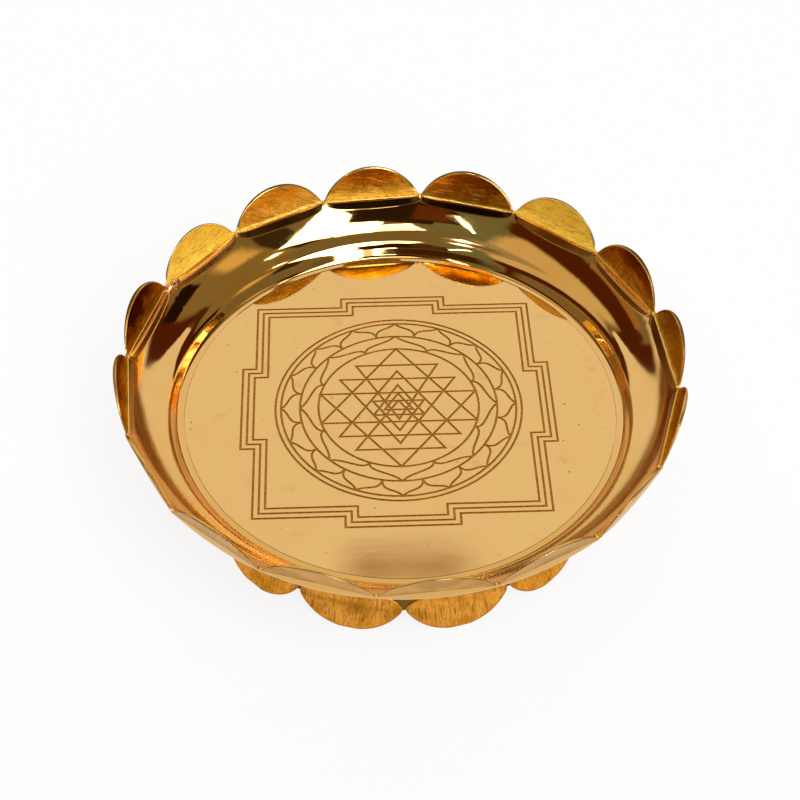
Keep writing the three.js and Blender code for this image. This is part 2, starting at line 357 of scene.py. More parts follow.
def half_moon(half, height, steps, tip_cut=0.0):
    """Outline of a half moon over its chord, as points (x, y), with the chord's own points last"""
    radius = (half ** 2 + height ** 2) / (2 * height)
    sweep = math.asin(half / radius)
    outline = []
    for i in range(steps + 1):
        angle = sweep * (1 - 2 * i / steps)
        up = height - radius * (1 - math.cos(angle))
        outline.append((radius * math.sin(angle), min(up, height - tip_cut)))
    for i in range(1, steps):
        outline.append((-half + 2 * half * i / steps, 0.0))
    return outline


def inset(outline, distance):
    """The outline moved inwards by a distance, corners mitred"""
    moved = []
    count = len(outline)
    for i, (x, y) in enumerate(outline):
        ax, ay = outline[i - 1]
        bx, by = outline[(i + 1) % count]
        n1 = Vector((-(y - ay), x - ax)).normalized()
        n2 = Vector((-(by - y), bx - x)).normalized()
        n = (n1 + n2) / max(0.35, 1 + n1.dot(n2))
        moved.append((x + n.x * distance, y + n.y * distance))
    return moved


def petal_rings(outline, centre):
    """Rings of one side from the outline inwards, each with its drop below the face and its distance from
    the outline"""
    rings = []
    for angle in BEVEL_ANGLES:
        distance = BEVEL * (1 - math.cos(rad(angle)))
        rings.append((inset(outline, distance), BEVEL * (1 - math.sin(rad(angle))), distance))
    base = inset(outline, BORDER)
    rings.append((base, 0.0, BORDER))
    for share in RING_SHARES:
        ring = [between(centre, point, share) for point in base]
        rings.append((ring, 0.0, BORDER + (1 - share) * RING_REACH))
    return rings


def sheet_petal(name, outline, front, back, seed, flush, material):
    """The front and back turn (x, y, drop) into places. A flush petal has no edge along its chord.
    The attribute edge tells the distance from the outline, rear the side, and petal_place the x and y."""
    bm = bmesh.new()
    edge_layer = bm.verts.layers.float.new("edge")
    rear_layer = bm.verts.layers.float.new("rear")
    place_layer = bm.verts.layers.float_vector.new("petal_place")
    middle_x = sum(x for x, _ in outline) / len(outline)
    middle_y = 0.5 * (min(y for _, y in outline) + max(y for _, y in outline)) * 0.9
    rings = petal_rings(outline, (middle_x, middle_y))
    neighbours = [(i, (i + 1) % len(outline)) for i in range(len(outline))]

    def marked(spot, x, y, edge, rear):
        vert = bm.verts.new(spot)
        vert[edge_layer] = edge
        vert[rear_layer] = rear
        vert[place_layer] = (x, y, PLACE_STEP * seed)
        return vert

    def side(place, rear):
        made = []
        for ring, drop, edge in rings:
            row = []
            for (x, y), (_, outline_y) in zip(ring, outline):
                low = max(0.0, 1 - outline_y / FLUSH_REACH) if flush else 0.0
                y -= 0.9 * low * min(edge, BORDER)
                row.append(marked(place(x, y, drop * (1 - low)), x, y, edge + 3 * low, rear))
            made.append(row)
        return made, marked(place(middle_x, middle_y, 0), middle_x, middle_y, CENTRE_EDGE, rear)

    def skin(made, centre, order):
        for low, high in zip(made, made[1:]):
            for i, k in neighbours:
                bm.faces.new((low[i], low[k], high[k], high[i])[::order])
        for i, k in neighbours:
            bm.faces.new((made[-1][i], made[-1][k], centre)[::order])

    front_rows, front_centre = side(front, 0.0)
    skin(front_rows, front_centre, 1)
    back_rows, back_centre = side(back, 1.0)
    skin(back_rows, back_centre, -1)
    for i, k in neighbours:
        bm.faces.new((front_rows[0][k], front_rows[0][i], back_rows[0][i], back_rows[0][k]))
    return finish_mesh(name, bm, material, 50)


def petal_axes(index, count, turn):
    """Level directions away from the plate's axis and along the petal's chord"""
    angle = 2 * math.pi * index / count + rad(turn)
    return Vector((math.cos(angle), math.sin(angle), 0)), Vector((-math.sin(angle), math.cos(angle), 0))


# Rim petals: how far each leans from the level, and its height. Some start with a wide bend.

RIM_STANCE = [
    (73, 12.3), (72, 12.5), (70, 12.7), (69, 12.5), (69, 12.7), (70, 12.6), (71, 12.4), (73, 12.1),
    (75, 11.9), (74, 12.0), (71, 12.3), (69, 12.5), (69, 12.5), (69, 12.6), (71, 12.4), (73, 12.2),
]
ROOT_BEND = 1.3
ROOT_TILT = 66
WIDE_BEND = 4.0
WIDE_TILT = 44
WIDE_ROOTS = (2, 4, 6)
FACE_STEEPER = 4
RIPPLE = 0.04


def rim_petal_places(index):
    """The inner face rises from the dish's lip in a hollow bend and then stands a little steeper than the
    outer face"""
    lean, height = RIM_STANCE[index]
    half = half_chord(RIM_RADIUS, RIM_COUNT)
    chord = chord_distance(RIM_RADIUS, RIM_COUNT)
    out, across = petal_axes(index, RIM_COUNT, RIM_TURN)
    wave = random.uniform(0, 6.28)
    cup = random.uniform(0.12, 0.3)
    root, tilt = (WIDE_BEND, WIDE_TILT) if index in WIDE_ROOTS else (ROOT_BEND, ROOT_TILT)
    start, end = rad(tilt), rad(90 - lean - FACE_STEEPER)
    bend_radius = root / (end - start)

    def inner_face(x, y):
        """Distance from the axis and height, and how far the face has turned outwards"""
        turned = start + (end - start) * min(max(y, 0), root) / root
        rest = max(y - root, 0)
        away = bend_radius * (math.cos(start) - math.cos(turned)) + rest * math.sin(end)
        up = bend_radius * (math.sin(turned) - math.sin(start)) + rest * math.cos(end)
        hollow = cup * (1 - (x / half) ** 2) * math.sin(math.pi * min(1, max(0, y / height)))
        ripple = RIPPLE * math.sin(x * 0.5 + wave) * min(1, max(0, y) / 4)
        return chord + LIP + away + hollow + ripple, up, turned

    def front(x, y, drop):
        r, z, turned = inner_face(x, y)
        r += drop * math.cos(turned)
        z -= drop * math.sin(turned)
        return (out * r + across * x + Vector((0, 0, RIM_EDGE + z))) * MM

    def back(x, y, drop):
        z = inner_face(x, y)[1]
        r = chord + level_width(lean) + z / math.tan(rad(lean)) - drop
        return (out * r + across * x + Vector((0, 0, RIM_EDGE + z))) * MM

    return half_moon(half, height, PETAL_STEPS), front, back


def make_rim_petal(index, material):
    name = f"rim_petal_{index + 1:02d}"
    outline, front, back = rim_petal_places(index)
    piece = sheet_petal("brushed_" + name, outline, front, back, index, True, material)
    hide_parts(name)


# Foot petals: they point down from the chord, and a lens-shaped pad of each lies up on the ring's wall

PAD_HEIGHT = 6.4
PAD_FULLNESS = 0.55
PAD_PROUD = 0.45
PAD_THICKNESS = 0.8
SMILE_HEIGHT = 3.2
TUCK_DEPTH = 0.8
JOIN_BLEND = 0.5
FOOT_LIFT = 0.03


def foot_outline(half):
    tip_cut = FOOT_TIP_FLAT / math.sin(rad(FOOT_LEAN))
    outline = half_moon(half, FOOT_HEIGHT, PETAL_STEPS, tip_cut)[:PETAL_STEPS + 1]
    for i in range(1, PETAL_STEPS):
        x = -half + 2 * half * i / PETAL_STEPS
        outline.append((x, -PAD_HEIGHT * max(0.0, 1 - (x / half) ** 2) ** PAD_FULLNESS))
    return outline


def foot_wall_distance(x, z):
    """How far out the pad on the ring's wall lies at a height and x. The wall ends at the foot's edge."""
    if z <= FOOT_EDGE:
        return math.inf
    radius = on_curve(FOOT_WALL, find(FOOT_WALL, 1, z))[0]
    return math.sqrt(max(radius ** 2 - x * x, 0)) + PAD_PROUD


def foot_petal_places(index):
    half = half_chord(FOOT_RADIUS, FOOT_COUNT)
    chord = chord_distance(FOOT_RADIUS, FOOT_COUNT)
    width = level_width(FOOT_LEAN)
    out, across = petal_axes(index, FOOT_COUNT, FOOT_TURN)
    wave = random.uniform(0, 6.28)
    lean_out, lean_down = math.cos(rad(FOOT_LEAN)), math.sin(rad(FOOT_LEAN))

    def face(x, y):
        """Distance from the axis and height of the outer face: y is down from the chord"""
        plane = chord + width + max(y, 0) * lean_out
        z = FOOT_EDGE + FOOT_LIFT - (y * lean_down if y > 0 else y)
        above = max(0.0, SMILE_HEIGHT * max(0.0, 1 - (x / half) ** 2) - y)
        plane -= min(0.2 * above * above / (above + 0.8), TUCK_DEPTH)
        wall = foot_wall_distance(x, z)
        join = max(0, JOIN_BLEND - abs(plane - wall)) ** 2 / (4 * JOIN_BLEND)
        return min(plane, wall) - join + RIPPLE * math.sin(x * 0.6 + wave), z

    def front(x, y, drop):
        r, z = face(x, y)
        return (out * (r - drop) + across * x + Vector((0, 0, z))) * MM

    def back(x, y, drop):
        r, z = face(x, y)
        r = chord + y * lean_out if y > 0 else r - width * PAD_THICKNESS
        return (out * (r + drop) + across * x + Vector((0, 0, z))) * MM

    return foot_outline(half), front, back


def make_foot_petal(index, material):
    name = f"foot_petal_{index + 1:02d}"
    outline, front, back = foot_petal_places(index)
    piece = sheet_petal("brushed_" + name, outline, front, back, index, False, material)
    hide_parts(name)


# Braze: a bead in each valley of the rim at the sides and the back, a long one on the left.
# Sizes and seats are (away from the axis, along the rim, up).

BEADS = range(-3, 8)
BEAD_SEAT = Vector((RIM_RADIUS - 0.1, 0, RIM_EDGE - 0.5))
BIG_BEAD = 6
BIG_BEAD_SIZE = Vector((1.6, 4.0, 2.0))
BIG_BEAD_SEAT = Vector((RIM_RADIUS - 1.1, -2.0, RIM_EDGE - 0.8))
BEAD_REACH = 1.1
BEAD_LUMPS = 0.16


def make_bead(index, material):
    angle = rad(RIM_TURN) + 2 * math.pi * (index + 0.5) / RIM_COUNT
    bm = bmesh.new()
    bmesh.ops.create_icosphere(bm, subdivisions=3, radius=1.0)
    size = Vector((random.uniform(0.6, 0.9), random.uniform(0.7, 1.1), random.uniform(0.8, 1.4)))
    seat = BEAD_SEAT
    if index == BIG_BEAD:
        size, seat = BIG_BEAD_SIZE, BIG_BEAD_SEAT
    seed = Vector((index * 3.7, 1.3, 0.4))
    for vert in bm.verts:
        lumps = 1 + BEAD_LUMPS * noise.noise(vert.co * 1.6 + seed)
        spot = vert.co * size * lumps + seat
        spot.x = min(spot.x, seat.x + BEAD_REACH)
        vert.co = spot * MM
    bmesh.ops.rotate(bm, verts=bm.verts, cent=(0, 0, 0), matrix=Matrix.Rotation(angle, 3, "Z"))
    finish_mesh(f"braze_bead_{index + 1:02d}", bm, material, 80)


# Materials. Noises are given by their scale per millimetre, detail and roughness.

BRASS = (0.76, 0.465, 0.17, 1)
BRASS_WARM = (0.75, 0.43, 0.135, 1)
# Painted shade for the front of the dish
FRONT_PAINTED_SHADE = (0.70, 0.40, 0.11, 1)
FLOOR_BRASS = (0.77, 0.475, 0.18, 1)
REAR_LIGHT = (0.70, 0.41, 0.18, 1)
REAR_DARK = (0.50, 0.28, 0.11, 1)
BURNT_LIGHT = (0.50, 0.24, 0.035, 1)
BURNT_DARK = (0.33, 0.135, 0.015, 1)
STAIN = (0.30, 0.13, 0.02, 1)
SOOT = (0.045, 0.016, 0.003, 1)
PAINTED_FOOT_SHADE = (0.16, 0.095, 0.02, 1)
# Painted shade for the lenses under the rim petals
PAINTED_LENS_DARK = (0.02, 0.011, 0.002, 1)
# Painted highlight: a bright gold for the dish's lip and for the petals' sheen streaks and rounded borders
PAINTED_HIGHLIGHT = (0.98, 0.60, 0.14, 1)
COPPER = (0.92, 0.52, 0.32, 1)
EDGE_TINT = (0.75, 0.45, 0.2, 1)
REAR_TINT = (0.78, 0.64, 0.42, 1)
# Petal colours: on whole rim petals the brighter ones also serve as painted highlight and the darker ones
# as painted shade
GOLD = (0.95, 0.60, 0.11, 1)
AMBER = (0.74, 0.36, 0.03, 1)
BROWN = (0.46, 0.19, 0.01, 1)
UMBER = (0.24, 0.085, 0.004, 1)
PALE_GOLD = (1.0, 0.68, 0.08, 1)
DEEP_GOLD = (0.95, 0.55, 0.05, 1)
FOOT_GOLD = (0.88, 0.38, 0.05, 1)
FOOT_BROWN = (0.62, 0.24, 0.02, 1)

# Roughness
MIRROR = (0.03, 0.075)
FLOOR_MIRROR = (0.03, 0.07)
LENS_SATIN = 0.24
FRONT_SATIN = 0.13
LOW_FOOT_MATT = 0.22
SCRATCH_MATT = 0.03
ENGRAVED_MATT = 0.42
REAR_MATT = 0.24
PATINA_MATT = 0.35
GLANCING_MATT = 0.2
BRAZE_SATIN = (0.14, 0.3)

# Depths of the bumps, in metres
SPUN_RINGS = 0.000003
HAND_DENTS = 0.00022
FINE_DENTS = 0.00001
FLOOR_RIPPLE = 0.00003
FLOOR_SCRATCH = 0.000001
BRAZE_LUMPS = 0.0001

# How the petals are worked: shares of the dark colour in the middle and of painted shade towards the tip,
# the borders' roughness and the marks' depth
RIM_WORK = {"middle": 0.6, "tip": 0.6, "border": 0.12, "depth": 0.000012, "cracks": False}
FOOT_WORK = {"middle": 0.2, "tip": 0.0, "border": 0.3, "depth": 0.00004, "cracks": True}


class Nodes:
    """Short calls that add nodes to a tree. A value may be a number, a colour or another node's output."""

    def __init__(self, tree):
        self.tree = tree

    def feed(self, node, key, value):
        if isinstance(value, bpy.types.NodeSocket):
            self.tree.links.new(value, node.inputs[key])
        else:
            node.inputs[key].default_value = value

    def add(self, kind, settings=None, inputs=None):
        node = self.tree.nodes.new(kind)
        for key, value in (settings or {}).items():
            setattr(node, key, value)
        for key, value in (inputs or {}).items():
            self.feed(node, key, value)
        return node

    def math(self, operation, a, b=0.0, clamp=False):
        settings = {"operation": operation, "use_clamp": clamp}
        return self.add("ShaderNodeMath", settings, {0: a, 1: b}).outputs[0]

    def times(self, a, b):
        return self.math("MULTIPLY", a, b)

    def plus(self, a, b):
        return self.math("ADD", a, b)

    def part(self, vector, axis):
        return self.add("ShaderNodeSeparateXYZ", None, {0: vector}).outputs[axis]

    def attribute(self, name, output="Fac"):
        return self.add("ShaderNodeAttribute", {"attribute_name": name}).outputs[output]

    def ramp(self, value, low, high, out_low=0.0, out_high=1.0):
        """A soft change from out_low to out_high while the value goes from low to high"""
        inputs = {0: value, 1: low, 2: high, 3: out_low, 4: out_high}
        return self.add("ShaderNodeMapRange", {"interpolation_type": "SMOOTHSTEP"}, inputs).outputs[0]

    def mix(self, share, a, b):
        return self.add("ShaderNodeMix", {"data_type": "RGBA"}, {0: share, 6: a, 7: b}).outputs[2]

    def noise(self, where, scale, detail, roughness=0.5):
        inputs = {"Vector": where, "Scale": scale, "Detail": detail, "Roughness": roughness}
        return self.add("ShaderNodeTexNoise", None, inputs).outputs[0]

    def stretched_noise(self, where, scales, turn, detail, roughness=0.5):
        """Noise with a scale for each axis, which are first turned by an angle about the third one"""
        inputs = {"Vector": where, "Rotation": (0, 0, turn), "Scale": [1 / scale for scale in scales]}
        place = self.add("ShaderNodeMapping", {"vector_type": "TEXTURE"}, inputs).outputs[0]
        return self.noise(place, 1.0, detail, roughness)

    def bump(self, height, distance, strength, normal=None):
        inputs = {"Height": height, "Distance": distance, "Strength": strength}
        if normal is not None:
            inputs["Normal"] = normal
        return self.add("ShaderNodeBump", None, inputs).outputs[0]


def metal(name, metallic=1.0):
    """A new metal material with its nodes, its shader and the place on the plate in millimetres"""
    material = bpy.data.materials.new(name)
    material.use_nodes = True
    nodes = Nodes(material.node_tree)
    shader = material.node_tree.nodes["Principled BSDF"]
    shader.inputs["Metallic"].default_value = metallic
    where = nodes.add("ShaderNodeTexCoord").outputs["Object"]
    inputs = {0: where, "Scale": 1 / MM}
    place = nodes.add("ShaderNodeVectorMath", {"operation": "SCALE"}, inputs).outputs[0]
    return material, nodes, shader, place


def dress_shader(nodes, shader, colour, roughness, normal):
    nodes.feed(shader, "Base Color", colour)
    nodes.feed(shader, "Roughness", roughness)
    nodes.feed(shader, "Normal", normal)


def spun_normal(nodes, place):
    """Fine rings from spinning and polishing, and the soft dents of hand work"""
    level = {0: nodes.part(place, 0), 1: nodes.part(place, 1)}
    flat = nodes.add("ShaderNodeCombineXYZ", None, level).outputs[0]
    radius = nodes.add("ShaderNodeVectorMath", {"operation": "LENGTH"}, {0: flat}).outputs["Value"]
    turned = nodes.add("ShaderNodeCombineXYZ", None, {0: radius, 1: nodes.part(place, 2)}).outputs[0]
    normal = nodes.bump(nodes.noise(turned, 2.2, 3), SPUN_RINGS, 0.5)
    normal = nodes.bump(nodes.noise(place, 0.05, 2), HAND_DENTS, 0.6, normal)
    return nodes.bump(nodes.noise(place, 0.28, 1), FINE_DENTS, 0.6, normal)


def mirror_finish(nodes, place):
    """Colour and roughness of mirror brass, with clouds, specks and wiping marks"""
    cloud = nodes.noise(place, 0.035, 3)
    colour = nodes.mix(nodes.ramp(cloud, 0.35, 0.7), BRASS, BRASS_WARM)
    speck = nodes.ramp(nodes.noise(place, 0.8, 2), 0.74, 0.80)
    colour = nodes.mix(nodes.times(speck, 0.5), colour, STAIN)
    wiping = nodes.stretched_noise(place, (0.05, 0.05, 0.3), 0.0, 4)
    return colour, nodes.ramp(wiping, 0.3, 0.75, *MIRROR)


def dish_brass():
    """Mirror brass with satin lenses that carry painted shade, a lip with a painted highlight, rougher
    towards the front and deeper in colour there as painted shade
    """
    material, nodes, shader, place = metal("polished_brass")
    colour, roughness = mirror_finish(nodes, place)
    # Painted shade: the lenses under the petals are darkened, most at the back
    colour = nodes.mix(nodes.attribute("painted_dark"), colour, PAINTED_LENS_DARK)
    # Painted highlight along the dish's lip
    colour = nodes.mix(nodes.attribute("painted_lip_highlight"), colour, PAINTED_HIGHLIGHT)
    roughness = nodes.plus(roughness, nodes.times(nodes.attribute("satin"), LENS_SATIN))
    depth = nodes.part(place, 1)
    roughness = nodes.plus(roughness, nodes.ramp(depth, 45, -45, 0.0, FRONT_SATIN))
    # Painted shade: the dish is darker towards the front
    colour = nodes.mix(nodes.ramp(depth, -10, -70), colour, FRONT_PAINTED_SHADE)
    dress_shader(nodes, shader, colour, roughness, spun_normal(nodes, place))
    return material


def foot_brass():
    """Mirror brass that is darker near the foot petals, as painted shade"""
    material, nodes, shader, place = metal("foot_brass_painted_shade")
    colour, roughness = mirror_finish(nodes, place)
    ragged = nodes.ramp(nodes.noise(place, 0.3, 3), 0.3, 0.7, -2.0, 2.0)
    height = nodes.plus(nodes.part(place, 2), ragged)
    # Painted shade: the ring darkens towards the foot petals, with a ragged edge
    painted_dark = nodes.ramp(height, FOOT_EDGE + 17, FOOT_EDGE + 8)
    colour = nodes.mix(painted_dark, colour, PAINTED_FOOT_SHADE)
    roughness = nodes.plus(roughness, nodes.times(painted_dark, LOW_FOOT_MATT))
    dress_shader(nodes, shader, colour, roughness, spun_normal(nodes, place))
    return material


def engraved_brass():
    """Polished floor with burnt grooves, specks, blots and fine scratches"""
    material, nodes, shader, place = metal("engraved_brass")
    engraved = nodes.ramp(nodes.part(place, 2), FLOOR_TOP - 0.005, FLOOR_TOP - 0.03)
    cloud = nodes.noise(place, 0.03, 4)
    colour = nodes.mix(nodes.ramp(cloud, 0.35, 0.72), FLOOR_BRASS, BRASS)
    blot = nodes.ramp(nodes.noise(place, 0.12, 4, 0.6), 0.60, 0.74)
    colour = nodes.mix(nodes.times(blot, 0.16), colour, STAIN)
    speck = nodes.ramp(nodes.noise(place, 0.5, 1), 0.775, 0.80)
    pores = nodes.ramp(nodes.noise(place, 1.7, 2), 0.73, 0.78)
    dirt = nodes.math("ADD", nodes.times(speck, 0.8), nodes.times(pores, 0.3), True)
    colour = nodes.mix(dirt, colour, STAIN)
    burnt = nodes.mix(nodes.ramp(nodes.noise(place, 1.2, 3), 0.3, 0.7), BURNT_LIGHT, BURNT_DARK)
    colour = nodes.mix(engraved, colour, burnt)
    scratch = nodes.ramp(nodes.stretched_noise(place, (0.04, 1.6, 1), 0.35, 3), 0.68, 0.76)
    crossing = nodes.ramp(nodes.stretched_noise(place, (0.05, 2.2, 1), -0.8, 3), 0.70, 0.77)
    fine = nodes.math("ADD", scratch, crossing, True)
    rough = nodes.plus(nodes.ramp(cloud, 0.3, 0.75, *FLOOR_MIRROR), nodes.times(fine, SCRATCH_MATT))
    rough = nodes.plus(rough, nodes.times(engraved, ENGRAVED_MATT))
    ripple = nodes.stretched_noise(place, (0.03, 0.09, 1), 0.0, 2)
    normal = nodes.bump(ripple, FLOOR_RIPPLE, 0.5)
    dress_shader(nodes, shader, colour, rough, nodes.bump(fine, FLOOR_SCRATCH, 0.5, normal))
    return material


def petal_marks(nodes, petal, grain, mottle, cracks):
    """Pits and cracks, from 0 to 1, and the height of the brushed surface"""
    fleck = nodes.ramp(nodes.noise(petal, 2.0, 2), 0.58, 0.70)
    pit = nodes.times(nodes.math("MAXIMUM", nodes.ramp(mottle, 0.58, 0.70), fleck), 0.45)
    height = nodes.math("SUBTRACT", nodes.ramp(grain, 0.35, 0.65), pit)
    if not cracks:
        return pit, height
    long = nodes.ramp(nodes.stretched_noise(petal, (2.0, 0.14, 1), 0.0, 2, 0.55), 0.63, 0.69)
    short = nodes.ramp(nodes.stretched_noise(petal, (3.0, 0.5, 1), 0.0, 2, 0.55), 0.66, 0.73)
    crack = nodes.math("ADD", long, short, True)
    pit = nodes.math("MAXIMUM", pit, nodes.times(crack, 0.8))
    return pit, nodes.math("SUBTRACT", height, nodes.times(pit, 1.5))


def petal_patina(nodes, edge, place):
    """Dirt on the outer edges and in a groove inside the rounded border, less of it towards the front"""
    groove = nodes.times(nodes.ramp(edge, 0.42, 0.52), nodes.ramp(edge, 0.62, 0.74, 1.0, 0.0))
    patina = nodes.math("MAXIMUM", nodes.ramp(edge, 0.14, 0.03), nodes.times(groove, 0.7))
    return nodes.times(patina, nodes.ramp(nodes.part(place, 1), -40, 20, 0.3, 0.9))


def glossier_at_a_glance(nodes, place, matt):
    """The petals at the back mirror more where they are seen at a glancing angle"""
    at_back = nodes.ramp(nodes.part(place, 1), 62, 74)
    facing = nodes.add("ShaderNodeLayerWeight").outputs["Facing"]
    glancing = nodes.times(nodes.ramp(facing, 0.33, 0.55), at_back)
    return nodes.ramp(glancing, 0.0, 1.0, matt, GLANCING_MATT)


def brushed_brass(name, light, dark, brush, streaks, root_matt, tip_matt, work, metallic=1.0):
    """Matt petal brass. The brush is the streaks' angle to the chord; the outer edges are dark, the rounded
    borders inside them carry a painted highlight unless the petal is cracked, and the rear is smooth. From
    root to tip the roughness goes from root_matt to tip_matt. A lower metallic share lets the bright base
    colour show as painted highlight."""
    material, nodes, shader, place = metal(name, metallic)
    edge, rear = nodes.attribute("edge"), nodes.attribute("rear")
    petal = nodes.attribute("petal_place", "Vector")
    face = nodes.times(nodes.ramp(edge, 0.5, 0.85), nodes.math("SUBTRACT", 1.0, rear))
    patches = nodes.noise(petal, 0.15, 3, 0.55)
    mottle = nodes.noise(petal, 0.9, 3, 0.6)
    grain = nodes.stretched_noise(petal, (0.2, 2.0, 1), rad(brush), 3, 0.6)
    painted_sheen = nodes.stretched_noise(petal, (0.15, 1.5, 2), rad(brush + 10), 3, 0.6)
    coarse = nodes.stretched_noise(petal, (0.08, 0.7, 1), rad(brush), 3, 0.6)
    upper = nodes.plus(nodes.part(petal, 1), nodes.ramp(patches, 0.3, 0.7, -1.6, 1.6))
    pit, height = petal_marks(nodes, petal, grain, mottle, work["cracks"])
    patina = petal_patina(nodes, edge, place)

    middle = nodes.times(nodes.ramp(edge, 1.0, 5.0), nodes.ramp(mottle, 0.38, 0.62))
    colour = nodes.mix(nodes.ramp(patches, 0.42, 0.64), light, dark)
    colour = nodes.mix(nodes.times(middle, work["middle"]), colour, dark)
    # Painted shade: darker towards the tip
    colour = nodes.mix(nodes.ramp(upper, 3.0, 10.0, 0.0, work["tip"]), colour, dark)
    colour = nodes.mix(nodes.times(nodes.ramp(coarse, 0.48, 0.64), 0.6 * streaks), colour, dark)
    # Painted sheen: bright gold streaks along the brush
    colour = nodes.mix(nodes.times(nodes.ramp(painted_sheen, 0.53, 0.68), 0.5 * streaks), colour, PAINTED_HIGHLIGHT)
    colour = nodes.mix(nodes.times(nodes.ramp(grain, 0.51, 0.64), 0.85 * streaks), colour, STAIN)
    colour = nodes.mix(nodes.times(pit, 0.85), colour, SOOT)
    smooth = nodes.mix(nodes.ramp(nodes.noise(petal, 0.09, 2), 0.35, 0.65), REAR_LIGHT, REAR_DARK)
    # Painted highlight on the rounded borders of rim petals; cracked petals get the dark colour there
    border = nodes.mix(rear, dark if work["cracks"] else PAINTED_HIGHLIGHT, smooth)
    colour = nodes.mix(patina, nodes.mix(face, border, colour), SOOT)

    matt = glossier_at_a_glance(nodes, place, nodes.ramp(upper, 1.0, 9.0, root_matt, tip_matt))
    plain = nodes.ramp(rear, 0.0, 1.0, work["border"], REAR_MATT)
    rough = nodes.plus(nodes.ramp(face, 0.0, 1.0, plain, matt), nodes.times(patina, PATINA_MATT))
    tip_height = min(1.0, 1.3 * tip_matt / root_matt)
    height = nodes.times(height, nodes.ramp(upper, 1.0, 9.0, 1.0, tip_height))
    nodes.feed(shader, "Specular Tint", nodes.mix(rear, EDGE_TINT, REAR_TINT))
    dress_shader(nodes, shader, colour, rough, nodes.bump(nodes.times(height, face), work["depth"], 0.8))
    return material


def braze(name, light):
    material, nodes, shader, place = metal(name)
    blot = nodes.noise(place, 0.9, 3)
    colour = nodes.mix(nodes.ramp(blot, 0.4, 0.7), light, BRASS_WARM)
    normal = nodes.bump(nodes.noise(place, 1.5, 2), BRAZE_LUMPS, 0.5)
    dress_shader(nodes, shader, colour, nodes.ramp(blot, 0.3, 0.7, *BRAZE_SATIN), normal)
    return material


# Studio: what the polished brass mirrors. Directions are round from behind the plate towards its right,
# and above the level.

DARK_RED = (0.09, 0.022, 0.004)
DARK_BROWN = (0.03, 0.016, 0.005)
SOFT_BOX = (8.0, 8.2, 8.6)
HIGH_BOX = (5.0, 5.1, 5.4)
LAMP = (9.0, 9.5, 10.0)
BRIGHT_LAMP = (25.0, 26.0, 27.0)
PANELS = [
    # azimuth, elevation, half width, half height, roll, softness, colour
    (266, 33, 33, 12, 0, 2.5, DARK_RED),
    (280, 19, 16, 4, 0, 3, (0.40, 0.22, 0.07)),
    (270, 58, 24, 13, 0, 6, (0.78, 0.68, 0.44)),
    (265, 70, 14, 3, 0, 4, (0.45, 0.42, 0.30)),
    (10, 0, 68, 63, 0, 2, DARK_RED),
    (3.5, 0, 51, 59, 0, 1, (1.0, 0.985, 0.93)),
    (92, 42, 19, 27, 0, 4, (0.29, 0.23, 0.10)),
    (105, 36, 6, 9, 0, 7, (0.90, 0.70, 0.30)),
    (80, 23, 9, 7, 0, 2, (0.02, 0.008, 0.002)),
    (126, 46, 6.5, 21, 0, 2, (0.045, 0.035, 0.012)),
    (214, 46, 12, 25, 0, 5, (0.20, 0.23, 0.15)),
    (185, 14, 62, 12, 0, 3, (0.06, 0.022, 0.005)),
    (166, 66.5, 11, 6.0, 0, 1.0, HIGH_BOX),
    (156, 45, 14, 25, 25, 1.0, SOFT_BOX),
    (167, 21, 2.3, 8, 0, 0.8, (1.6, 1.5, 1.4)),
    (184, 41, 18, 13, 0, 1.0, DARK_BROWN),
    (186, 52, 8, 5, 12, 1.0, DARK_BROWN),
    (166, 36, 5, 7, -20, 1.0, DARK_BROWN),
    (196, 41, 6, 10, 0, 3, (0.14, 0.04, 0.01)),
    (213.5, 49, 0.5, 11.5, -29, 0.4, BRIGHT_LAMP),
    (252.7, 77.4, 2.2, 1.6, 0, 0.5, BRIGHT_LAMP),
    (102.3, 60.3, 2.4, 1.6, 0, 0.6, LAMP),
    (58.8, 68.7, 2.2, 1.4, 0, 0.6, LAMP),
    (2.9, 52.65, 2.1, 0.45, 0, 1.7, (0.42, 0.25, 0.13)),
]
WIDEST = 80
AHEAD = (0.02, 0.05)
WHITE_WALL = 3.5
HORIZON_TOP = (0.04, 0.12)
HORIZON_SOFT = 0.1
CEILING = (0.24, 0.20, 0.115, 1)
HORIZON = (0.92, 0.90, 0.86, 1)
FLOOR_SIZE = 60
FLOOR_DROP = 0.0002
FLOOR_SHADE = (0.92, 0.92, 0.92, 1)
FLOOR_GLOW = 0.85
WHITE = (1, 1, 1, 1)

# Camera: its place in millimetres, where it looks, and its lens and sensor
CAMERA_PLACE = (-16.83, -399.87, 463.48)
CAMERA_AHEAD = (0.02855, 0.68397, -0.72895)
CAMERA_ROLL = 0.257
CAMERA_LENS = 73.55
CAMERA_SENSOR = 36
CAMERA_CLIP = (0.01, 60)


def direction(azimuth, elevation):
    a, e = rad(azimuth), rad(elevation)
    return Vector((math.sin(a) * math.cos(e), math.cos(a) * math.cos(e), math.sin(e)))


def panel_axes(azimuth, elevation, roll):
    """Directions from the plate to the panel's middle, and along its width and height"""
    ahead = direction(azimuth, elevation)
    right = direction(azimuth + 90, 0)
    above = right.cross(ahead)
    if above.z < 0:
        above = -above
    width = math.cos(rad(roll)) * right + math.sin(rad(roll)) * above
    return ahead, width, math.cos(rad(roll)) * above - math.sin(rad(roll)) * right


